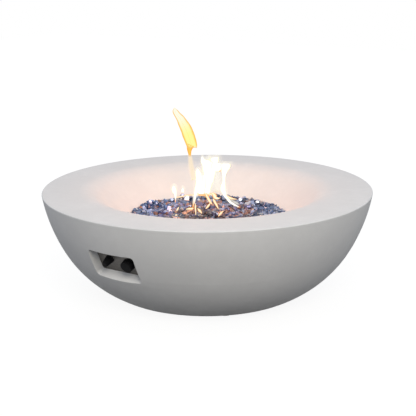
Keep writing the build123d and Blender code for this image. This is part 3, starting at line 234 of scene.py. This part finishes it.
class Value:
    """A number or colour in a shader. Arithmetic on it adds Math nodes."""

    def __init__(self, shader, link):
        self.shader = shader
        self.link = link

    def math(self, operation, *values):
        return self.shader.add("ShaderNodeMath", {"operation": operation}, dict(enumerate(values)))

    def __add__(self, other):
        return self.math("ADD", self, other)

    def __radd__(self, other):
        return self.math("ADD", other, self)

    def __sub__(self, other):
        return self.math("SUBTRACT", self, other)

    def __rsub__(self, other):
        return self.math("SUBTRACT", other, self)

    def __mul__(self, other):
        return self.math("MULTIPLY", self, other)

    def larger(self, other):
        return self.math("MAXIMUM", self, other)

    def step(self, low, high):
        """Rises smoothly from 0 to 1 as the value goes from low to high."""
        return self.shader.add(
            "ShaderNodeMapRange", {"interpolation_type": "SMOOTHSTEP"},
            {"Value": self, "From Min": low, "From Max": high},
        )


class Shader:
    """A procedural material or world, built from expressions."""

    def __init__(self, tree):
        self.tree = tree

    def add(self, kind, settings=None, inputs=None, output=0):
        node = self.tree.nodes.new(kind)
        for key, value in (settings or {}).items():
            setattr(node, key, value)
        for key, value in (inputs or {}).items():
            self.feed(node.inputs[key], value)
        return Value(self, node.outputs[output])

    def feed(self, socket, value):
        if isinstance(value, Value):
            self.tree.links.new(value.link, socket)
        else:
            socket.default_value = value

    def place(self):
        return self.add("ShaderNodeTexCoord", output="Object")

    def stored(self, name, output="Fac"):
        """A value that the mesh keeps at each of its points."""
        return self.add("ShaderNodeAttribute", {"attribute_name": name}, output=output)

    def noise(self, scale, detail=3.0, roughness=0.5, distortion=0.0):
        """Cloudy noise whose scale counts its patches per metre."""
        return self.add(
            "ShaderNodeTexNoise", {},
            {"Vector": self.place(), "Scale": scale, "Detail": detail, "Roughness": roughness,
             "Distortion": distortion},
        )

    def stretched(self, scales, detail=3.0):
        """Noise drawn out along an axis, as brushing is. Its scales count patches per metre."""
        stretched_place = self.add(
            "ShaderNodeVectorMath", {"operation": "MULTIPLY"}, {0: self.place(), 1: scales}
        )
        return self.add(
            "ShaderNodeTexNoise", {}, {"Vector": stretched_place, "Scale": 1.0, "Detail": detail}
        )

    def cells(self, scale):
        """Distance to the nearest of many scattered points, so many of them per metre."""
        return self.add("ShaderNodeTexVoronoi", {}, {"Vector": self.place(), "Scale": scale})

    def mix(self, factor, first, second):
        return self.add(
            "ShaderNodeMix", {"data_type": "RGBA"}, {0: factor, 6: first, 7: second}, output=2
        )

    def bump(self, height, strength, distance):
        return self.add(
            "ShaderNodeBump", {}, {"Height": height, "Strength": strength, "Distance": distance}
        )


def colour(red, green, blue):
    return (red, green, blue, 1.0)


def shade(base, share):
    """A colour made lighter or darker by a share."""
    return colour(*[channel * share for channel in base[:3]])


WHITE = colour(1.0, 1.0, 1.0)
BLACK = colour(0.0, 0.0, 0.0)


def new_material(name):
    material = bpy.data.materials.new(name)
    material.use_nodes = True
    shader = Shader(material.node_tree)
    surface = material.node_tree.nodes["Principled BSDF"].inputs
    return material, shader, surface


def concrete():
    """Pale cast concrete: cloudy, with a fine grain and a few small air holes."""
    material, shader, surface = new_material("pale_concrete")
    base = colour(0.665, 0.668, 0.672)
    clouds = shader.noise(7.0, detail=4.0, roughness=0.55, distortion=0.3).step(0.32, 0.68)
    patches = shader.noise(46.0, detail=4.0, roughness=0.6).step(0.3, 0.7)
    grain = shader.noise(900.0, detail=2.0)
    body = shader.mix(clouds, shade(base, 0.965), shade(base, 1.02))
    body = shader.mix(patches * 0.5, body, shade(base, 0.95))
    body = shader.mix(grain.step(0.35, 0.75) * 0.25, body, shade(base, 1.06))
    holes = shader.cells(85.0).step(0.045, 0.075)
    sparse = shader.noise(17.0).step(0.5, 0.62)
    hole_mask = (1 - holes) * sparse
    # The air holes are painted darker: painted shade in the pits, whose depth is also in the bump.
    shader.feed(surface["Base Color"], shader.mix(hole_mask * 0.5, body, shade(base, 0.6)))
    shader.feed(surface["Roughness"], 0.78 + patches * 0.1)
    height = grain * 0.35 + patches * 0.3 - hole_mask * 1.5
    shader.feed(surface["Normal"], shader.bump(height, 0.35, 0.0006))
    return material


def metal(name, base, roughness, brushing=(60.0, 60.0, 900.0)):
    """A metal with fine streaks and a slightly uneven polish."""
    material, shader, surface = new_material(name)
    streaks = shader.stretched(brushing)
    wear = shader.noise(70.0, detail=4.0).step(0.35, 0.7)
    shader.feed(surface["Base Color"], shader.mix(wear, shade(base, 0.86), shade(base, 1.06)))
    shader.feed(surface["Roughness"], roughness + streaks * 0.14 + wear * 0.06)
    surface["Metallic"].default_value = 1.0
    shader.feed(surface["Normal"], shader.bump(streaks, 0.12, 0.0002))
    return material


def moulded(name, base, roughness, grain_scale, grain_depth=0.25):
    """Rubber, plastic or ceramic with a fine grain and faint handling marks."""
    material, shader, surface = new_material(name)
    grain = shader.noise(grain_scale, detail=2.0)
    marks = shader.noise(55.0, detail=4.0, roughness=0.6).step(0.4, 0.75)
    shader.feed(surface["Base Color"], shader.mix(marks, base, shade(base, 1.35)))
    shader.feed(surface["Roughness"], roughness + marks * 0.1)
    surface["Specular IOR Level"].default_value = 0.03
    shader.feed(surface["Normal"], shader.bump(grain, grain_depth, 0.0002))
    return material


def painted_steel():
    """The control plate: dark metal with a dull, slightly mottled coat."""
    material, shader, surface = new_material("dark_plate")
    base = colour(0.115, 0.108, 0.1)
    mottle = shader.noise(120.0, detail=4.0, roughness=0.6).step(0.35, 0.7)
    speckle = shader.noise(1400.0, detail=1.0)
    shader.feed(surface["Base Color"], shader.mix(mottle, shade(base, 0.82), shade(base, 1.15)))
    shader.feed(surface["Roughness"], 0.42 + speckle * 0.16)
    surface["Metallic"].default_value = 0.45
    shader.feed(surface["Normal"], shader.bump(speckle, 0.2, 0.0002))
    return material


def braid():
    """The burner hose: grey woven metal braid."""
    material, shader, surface = new_material("hose_braid")
    crossed = shader.cells(620.0).step(0.1, 0.6)
    # Painted shade: the braid is lighter on its raised wires and darker in the gaps between them.
    tone = shader.mix(crossed, colour(0.42, 0.42, 0.43), colour(0.2, 0.2, 0.21))
    shader.feed(surface["Base Color"], tone)
    shader.feed(surface["Roughness"], 0.38 + crossed * 0.2)
    surface["Metallic"].default_value = 0.7
    shader.feed(surface["Normal"], shader.bump(1 - crossed, 0.5, 0.0004))
    return material


def chip_glass():
    """Fire glass chips: each has its own tint and is silvered to its own degree."""
    material, shader, surface = new_material("fire_glass_chips")
    tint = shader.stored("tint", output="Color")
    silver = shader.stored("silvering")
    veins = shader.noise(230.0, detail=3.0, roughness=0.6).step(0.42, 0.66)
    shader.feed(surface["Base Color"], shader.mix(veins * 0.35, tint, colour(0.09, 0.14, 0.3)))
    shader.feed(surface["Metallic"], silver)
    shader.feed(surface["Roughness"], 0.07 + veins * 0.12)
    surface["IOR"].default_value = 1.55
    surface["Coat Weight"].default_value = 0.6
    surface["Coat Roughness"].default_value = 0.05
    shader.feed(surface["Normal"], shader.bump(veins, 0.2, 0.0005))
    return material


def bed_glass():
    """The depth of the glass heap, seen in the gaps between its chips. Its dark blue is partly the
    lower glass's own colour and partly painted shade, darkest between its lumps.
    """
    material, shader, surface = new_material("fire_glass_depth_painted_shade")
    lumps = shader.cells(140.0).step(0.1, 0.7)
    shaded_depth_tone = shader.mix(lumps, colour(0.05, 0.08, 0.19), colour(0.012, 0.016, 0.04))
    shader.feed(surface["Base Color"], shaded_depth_tone)
    shader.feed(surface["Roughness"], 0.2 + lumps * 0.3)
    shader.feed(surface["Normal"], shader.bump(1 - lumps, 0.9, 0.003))
    return material


FINISHES = {
    "concrete": concrete(),
    "brass": metal("brass_fittings", colour(0.72, 0.56, 0.27), 0.26),
    "rubber": moulded("black_rubber", colour(0.028, 0.028, 0.029), 0.72, 900.0),
    "zinc_steel": metal("plated_screws", colour(0.6, 0.6, 0.61), 0.3),
    "stainless": metal("stainless_sheet", colour(0.55, 0.55, 0.55), 0.28, (900.0, 60.0, 60.0)),
    "copper": metal("copper_probe", colour(0.7, 0.38, 0.24), 0.3),
    "ceramic": moulded("white_ceramic", colour(0.78, 0.77, 0.73), 0.25, 500.0, 0.08),
    "blue_glass": bed_glass(),
    "dark_steel": painted_steel(),
    "cast_aluminium": metal("cast_aluminium", colour(0.6, 0.6, 0.6), 0.48, (500.0, 500.0, 500.0)),
    "spring_steel": metal("spring_steel", colour(0.5, 0.5, 0.51), 0.3),
    "black_plastic": moulded("black_plastic", colour(0.009, 0.009, 0.01), 0.5, 1500.0),
    "battery_sleeve": moulded("battery_sleeve", colour(0.1, 0.1, 0.11), 0.3, 600.0, 0.05),
    "hose_rubber": moulded("black_hose", colour(0.025, 0.025, 0.026), 0.6, 700.0),
    "hose_braid": braid(),
    "wire_sleeve": moulded("red_wire_sleeve", colour(0.5, 0.13, 0.06), 0.5, 800.0),
}
for part in frame["record"]["subparts"]:
    for material_slot in frame["nodes"][part["node"]].material_slots:
        material_slot.material = FINISHES[part["material_slot"]]

# Each return spring gets its own copy of its mesh.
for spring, joint, travel in SPRINGS:
    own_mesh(frame["nodes"][spring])


def new_piece(name, bm, material, body="bowl"):
    """A finished piece from a bmesh: its object sits at the origin."""
    mesh = bpy.data.meshes.new(name)
    bm.to_mesh(mesh)
    bm.free()
    mesh.materials.append(material)
    piece = bpy.data.objects.new(name, mesh)
    bpy.context.scene.collection.objects.link(piece)
    if body:
        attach(piece, body)
    return piece


def turned(outline):
    """A closed body of revolution from (radius, height) points that start and end on the axis."""
    bm = bmesh.new()
    corners = [bm.verts.new((radius, 0, height)) for radius, height in outline]
    rails = [bm.edges.new(pair) for pair in zip(corners, corners[1:])]
    bmesh.ops.spin(
        bm, geom=corners + rails, cent=(0, 0, 0), axis=(0, 0, 1), dvec=(0, 0, 0),
        angle=math.tau, steps=TURN_STEPS, use_merge=True,
    )
    bmesh.ops.remove_doubles(bm, verts=bm.verts[:], dist=1e-6)
    bmesh.ops.recalc_face_normals(bm, faces=bm.faces[:])
    return bm


# The heap of fire glass fills the same space as its CAD solid.
glass_low, glass_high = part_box("fire_glass")
glass_radius = glass_high.x
glass_crown = glass_high.z - CHUNK_RISE
ledge_top = glass_crown - CROWN_RISE - LEDGE_DROP


def heap_height(radius):
    """Height of the heap's smooth surface."""
    return glass_crown - CROWN_RISE * (radius / glass_radius) ** 2


def unevenness(x, y):
    """How far the chips at a place lie above or below the smooth heap. None lies low at its edge."""
    rise = UNEVENNESS * noise.noise(Vector((x, y, 0)) * UNEVEN_PATCHES)
    if glass_radius - math.hypot(x, y) < EDGE_ROOM:
        rise = max(rise, 0)
    off_mound = math.dist((x, y), MOUND) / MOUND_REACH
    return rise + MOUND_RISE * max(1 - off_mound ** 2, 0)


def glass_bed():
    """The body of the heap, a little below the chips that cover it."""
    rings = [glass_radius * i / BED_RINGS for i in range(BED_RINGS, -1, -1)]
    top = [(radius, heap_height(radius) - BED_DROP) for radius in rings]
    outline = [
        (0, glass_low.z), (PAN_INNER_RADIUS, glass_low.z), (PAN_INNER_RADIUS, ledge_top),
        (glass_radius, ledge_top),
    ]
    bed = new_piece("glass_bed", turned(outline + top), FINISHES["blue_glass"])
    for face in bed.data.polygons:
        face.use_smooth = True
    return bed


def any_direction():
    """A random direction, even over the sphere."""
    rise = random.uniform(-1, 1)
    turn = random.uniform(0, math.tau)
    level = math.sqrt(1 - rise * rise)
    return Vector((level * math.cos(turn), level * math.sin(turn), rise))


def shard():
    """One broken piece of glass, about 1 across: a block with its corners sheared off."""
    bm = bmesh.new()
    bmesh.ops.create_cube(bm, size=1.0)
    sizes = [random.uniform(*limits) for limits in SHARD_SIZES]
    bmesh.ops.scale(bm, verts=bm.verts[:], vec=sizes)
    for _ in range(SHARD_CUTS):
        way = any_direction()
        bmesh.ops.bisect_plane(
            bm, geom=bm.verts[:] + bm.edges[:] + bm.faces[:],
            plane_co=way * random.uniform(*CUT_DEPTHS), plane_no=way, clear_outer=True,
        )
        bmesh.ops.holes_fill(bm, edges=bm.edges[:], sides=0)
    mesh = bpy.data.meshes.new("shard")
    bm.to_mesh(mesh)
    bm.free()
    return mesh


def chip_kind(draw, in_painted_firelight):
    """The kind of chip that a draw from 0 to 1 stands for."""
    # Near the fire the extra warm chips, and purple in place of blue, are painted firelight.
    warm_end = PAINTED_FIRELIGHT_WARM_SHARE if in_painted_firelight else WARM_SHARE
    if draw < warm_end:
        return "warm"
    if draw < warm_end + WHITE_END:
        return "white"
    if draw < warm_end + PALE_END:
        return "pale"
    if draw < warm_end + BLUE_END:
        return "painted_firelight_purple" if in_painted_firelight else "blue"
    return "shaded_depth_tone"


def chip_tint(x, y):
    """A chip's colour and how silvered it is. Its colour carries painted firelight near the fire and
    painted shade towards the camera.
    """
    kind = chip_kind(random.random(), math.hypot(x, y) < PAINTED_FIRELIGHT_REACH)
    light = random.uniform(*CHIP_LIGHT)
    # Over half the chips in one patch near the middle are dark brown.
    if random.random() < DARK_PATCH_SHARE and math.dist((x, y), DARK_PATCH) < DARK_PATCH_REACH:
        kind = "dark_brown"
    light *= 1 + PALE_GAIN * max(1 - math.dist((x, y), MOUND) / PALE_REACH, 0)
    # Painted shade: chips nearer the camera are darker, standing in for the rim's shade on the
    # nearest glass.
    nearness = (x * math.sin(AZIMUTH) - y * math.cos(AZIMUTH)) / PAINTED_SHADE_DEPTH
    light *= 1 - PAINTED_SHADE_LOSS * min(max(nearness, 0), 1)
    base, silver = CHIP_KINDS[kind]
    return shade(base, 1 if kind == "white" else light), silver


def chip_places():
    """Points of a jittered triangular lattice over the heap."""
    places = []
    rows = int(glass_radius / (CHIP_SPACING * ROW_STEP)) + 1
    columns = int(glass_radius / CHIP_SPACING) + 1
    for row in range(-rows, rows + 1):
        for column in range(-columns, columns + 1):
            shift = random.uniform(-CHIP_JITTER, CHIP_JITTER)
            x = (column + 0.5 * (row % 2) + shift) * CHIP_SPACING
            y = (row * ROW_STEP + random.uniform(-CHIP_JITTER, CHIP_JITTER)) * CHIP_SPACING
            if math.hypot(x, y) < glass_radius - CLEAR_OF_EDGE:
                places.append((x, y))
    return places


def glass_chips():
    """The loose chips, many shards in one mesh, each with its own tint."""
    kinds = [shard() for _ in range(SHARD_KINDS)]
    bm = bmesh.new()
    tint = bm.verts.layers.float_color.new("tint")
    silvering = bm.verts.layers.float.new("silvering")
    for x, y in chip_places():
        radius = math.hypot(x, y)
        size = random.uniform(*CHIP_SIZES)
        edge_room = glass_radius - radius
        rise = STANDING_RISE if random.random() < STANDING_SHARE else CHIP_RISE
        height = heap_height(radius) + unevenness(x, y) + random.uniform(*rise)
        if edge_room < EDGE_ROOM:
            height += EDGE_LIFT
        if edge_room < max(CHIP_SIZES):
            size *= EDGE_SCALE
        before = len(bm.verts)
        bm.from_mesh(random.choice(kinds))
        bm.verts.ensure_lookup_table()
        new = bm.verts[before:]
        turn = Matrix.Rotation(random.uniform(0, math.tau), 4, any_direction())
        place = Matrix.Translation((x, y, height)) @ turn @ Matrix.Scale(size, 4)
        bmesh.ops.transform(bm, matrix=place, verts=new)
        chip_colour, chip_silver = chip_tint(x, y)
        for vert in new:
            vert[tint] = chip_colour
            vert[silvering] = chip_silver
    return new_piece("glass_chips", bm, chip_glass())


bed = glass_bed()
chips = glass_chips()
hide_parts("fire_glass")
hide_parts("fire_glass")


def flame_finish(name, core, rim, foot, rim_start, fade_start, strength, body=1.0, ragged=0.9,
                 foot_start=0.86, crown=None):
    """Glowing gas: bright in the middle of each sheet, with a coloured rim that fades out."""
    material = bpy.data.materials.new(name)
    material.use_nodes = True
    shader = Shader(material.node_tree)
    material.node_tree.nodes.remove(material.node_tree.nodes["Principled BSDF"])
    across = shader.stored("across")
    along = shader.stored("along")
    edge = across + (shader.stretched(FLAME_STREAKS, detail=2.0) - 0.5) * ragged
    middle = shader.mix(along.step(*CROWN_SPAN), crown or core, core)
    shine = shader.mix(edge.step(rim_start, RIM_END), middle, rim)
    shine = shader.mix(along.step(foot_start, FOOT_END), shine, foot)
    solid = (1 - edge.step(fade_start, FADE_END)) * (1 - along.step(*FOOT_FADE) * FOOT_LOSS) * body
    glow = shader.add("ShaderNodeEmission", {}, {"Color": shine, "Strength": strength})
    clear = shader.add("ShaderNodeBsdfTransparent")
    sheet = shader.add("ShaderNodeMixShader", {}, {0: solid, 1: clear, 2: glow})
    shader.feed(material.node_tree.nodes["Material Output"].inputs["Surface"], sheet)
    return material


def between_places(line, share):
    """A smooth curve through a flame's places, from its tip at 0 to its foot at 1."""
    spot = share * (len(line) - 1)
    i = min(int(spot), len(line) - 2)
    t = spot - i
    before, start = line[max(i - 1, 0)], line[i]
    end, after = line[i + 1], line[min(i + 2, len(line) - 1)]
    return [
        0.5 * (2 * b + (c - a) * t + (2 * a - 5 * b + 4 * c - d) * t * t
               + (3 * b - a - 3 * c + d) * t ** 3)
        for a, b, c, d in zip(before, start, end, after)
    ]


def flame_sheet(bm, depth, line, turn, spread):
    """Adds one thin sheet of flame. A turn swings its width about the flame's own line."""
    right = Vector((math.cos(AZIMUTH), math.sin(AZIMUTH), 0))
    toward = Vector((math.sin(AZIMUTH), -math.cos(AZIMUTH), 0))
    width_way = right * math.cos(turn) + toward * math.sin(turn)
    across_layer = bm.verts.layers.float["across"]
    along_layer = bm.verts.layers.float["along"]
    steps_across, steps_along = FLAME_STEPS
    grid = bmesh.ops.create_grid(bm, x_segments=steps_across, y_segments=steps_along, size=0.5)
    for vert in grid["verts"]:
        side, share = 2 * vert.co.x, min(max(vert.co.y + 0.5, 0), 1)
        across, height, half = between_places(line, share)
        low_across, low_height, _ = between_places(line, min(share + SLOPE_SPAN, 1))
        high_across, high_height, _ = between_places(line, max(share - SLOPE_SPAN, 0))
        way = Vector((high_across - low_across, high_height - low_height)).normalized()
        middle = right * across + toward * depth + Vector((0, 0, height))
        offset = width_way * way.y - Vector((0, 0, way.x * math.cos(turn)))
        vert.co = (middle + offset * side * max(half * spread, NARROWEST)) / MM_PER_M
        vert[across_layer] = abs(side)
        vert[along_layer] = share


def flames(name, lines, material, spread=1.0, setback=0):
    """Flames stand over the glass but aren't part of the bowl. Each is two crossed sheets."""
    bm = bmesh.new()
    bm.verts.layers.float.new("across")
    bm.verts.layers.float.new("along")
    for depth, line in lines:
        for turn in (0.0, math.pi / 2):
            flame_sheet(bm, depth - setback, line, turn, spread)
    sheets = new_piece(name, bm, material, body=None)
    sheets.visible_shadow = False


def visible_ray(shader):
    """1 for the rays by which the camera, gloss and glass see a surface."""
    light_path = shader.tree.nodes.new("ShaderNodeLightPath")
    rays = [Value(shader, light_path.outputs[name]) for name in VISIBLE_RAYS]
    return rays[0].larger(rays[1]).larger(rays[2])


def stage_floor():
    """A plain pale floor that shows white and keeps the bowl's shadow."""
    material, shader, surface = new_material("pale_floor")
    surface["Base Color"].default_value = colour(0.12, 0.12, 0.12)
    surface["Roughness"].default_value = 0.95
    surface["Specular IOR Level"].default_value = 0.1
    shader.feed(surface["Emission Color"], shader.mix(visible_ray(shader), BLACK, WHITE))
    surface["Emission Strength"].default_value = FLOOR_GLOW
    bm = bmesh.new()
    bmesh.ops.create_grid(bm, x_segments=1, y_segments=1, size=FLOOR_HALF_SIZE)
    floor = new_piece("floor", bm, material, body=None)


def sky_light():
    """A pale sky that lights the bowl from all round, and shows white itself."""
    world = bpy.data.worlds.new("studio")
    world.use_nodes = True
    bpy.context.scene.world = world
    shader = Shader(world.node_tree)
    background = world.node_tree.nodes["Background"]
    sky = shader.mix(visible_ray(shader), colour(0.685, 0.71, 0.76), WHITE)
    shader.feed(background.inputs["Color"], sky)
    background.inputs["Strength"].default_value = 1.0


def new_lamp(name, kind, place, tint, power):
    lamp = bpy.data.lights.new(name, kind)
    lamp.color = tint
    lamp.energy = power
    lamp_object = bpy.data.objects.new(name, lamp)
    lamp_object.location = place
    bpy.context.scene.collection.objects.link(lamp_object)
    return lamp_object


def key_lamp():
    """A wide soft lamp from the front right."""
    key = new_lamp("key", "AREA", KEY_PLACE, KEY_TINT, KEY_POWER)
    key.data.shape = "DISK"
    key.data.size = KEY_SIZE
    way = Vector(KEY_TARGET) - Vector(KEY_PLACE)
    key.rotation_euler = way.to_track_quat("-Z", "Y").to_euler()


def fire_lamp(name, place, radius, power):
    """The fire's light on the dish."""
    fire = new_lamp(name, "POINT", place, FIRE_TINT, power)
    fire.data.shadow_soft_size = radius


def camera():
    eye = bpy.data.cameras.new("camera")
    eye.lens = CAMERA_LENS
    eye.sensor_width = SENSOR_WIDTH
    eye_object = bpy.data.objects.new("camera", eye)
    place = Matrix.Translation(
        (CAMERA_REACH * math.sin(AZIMUTH), -CAMERA_REACH * math.cos(AZIMUTH), CAMERA_HEIGHT)
    )
    heading = Matrix.Rotation(AZIMUTH + math.radians(CAMERA_YAW), 4, "Z")
    pitch = Matrix.Rotation(math.radians(90 - CAMERA_PITCH), 4, "X")
    roll = Matrix.Rotation(math.radians(CAMERA_ROLL), 4, "Z")
    eye_object.matrix_world = place @ heading @ pitch @ roll
    bpy.context.scene.collection.objects.link(eye_object)
    bpy.context.scene.camera = eye_object


stage_floor()
sky_light()
camera()
key_lamp()
fire_lamp("fire_glow_low", (0, 0, 0.41), radius=0.07, power=1.2)
fire_lamp("fire_glow_high", (-0.02, 0, 0.53), radius=0.08, power=1.3)

CREAM = colour(1.0, 0.9, 0.5)
AMBER = colour(1.0, 0.38, 0.07)
white_flame = flame_finish(
    "white_flame", core=colour(1.0, 1.0, 0.98), rim=CREAM, foot=AMBER,
    rim_start=0.5, fade_start=0.7, strength=1.25, foot_start=0.7,
)
amber_flame = flame_finish(
    "amber_flame", core=colour(1.0, 0.96, 0.68), rim=AMBER, foot=colour(1.0, 0.3, 0.06),
    rim_start=0.15, fade_start=0.8, strength=1.15,
)
pale_haze = flame_finish(
    "pale_haze", core=colour(1.0, 0.95, 0.82), rim=colour(1.0, 0.9, 0.8), foot=CREAM,
    rim_start=0.3, fade_start=0.0, strength=1.1, body=0.5,
)
yellow_flame = flame_finish(
    "yellow_flame", core=colour(1.0, 0.98, 0.36), rim=colour(0.98, 0.52, 0.05),
    foot=colour(0.97, 0.5, 0.05), rim_start=0.55, fade_start=0.9, strength=1.0, ragged=0.3,
    foot_start=0.93, crown=colour(1.0, 0.99, 0.8),
)
orange_flame = flame_finish(
    "orange_flame", core=colour(0.98, 0.6, 0.12), rim=colour(0.96, 0.42, 0.04),
    foot=colour(0.96, 0.38, 0.05), rim_start=0.2, fade_start=0.85, strength=1.0, ragged=0.2,
)
peach_flame = flame_finish(
    "peach_flame", core=colour(1.0, 0.84, 0.62), rim=colour(1.0, 0.84, 0.7), foot=CREAM,
    rim_start=0.3, fade_start=0.25, strength=1.0, body=0.85,
)
hazy = [HAZE] + [FLAMES[name] for name in HAZY_FLAMES]
flames("flames", FLAMES.values(), white_flame)
flames("low_flames", LICKS.values(), amber_flame)
flames("flame_haze", hazy, pale_haze, HAZE_SPREAD, HAZE_SETBACK)
flames("tall_flame", [TALL_FLAME], yellow_flame)
flames("tall_flame_stem", [TALL_FLAME_STEM], orange_flame)
flames("tall_flame_tail", [TALL_FLAME_TAIL], peach_flame)
bpy.context.scene.view_settings.view_transform = "Standard"
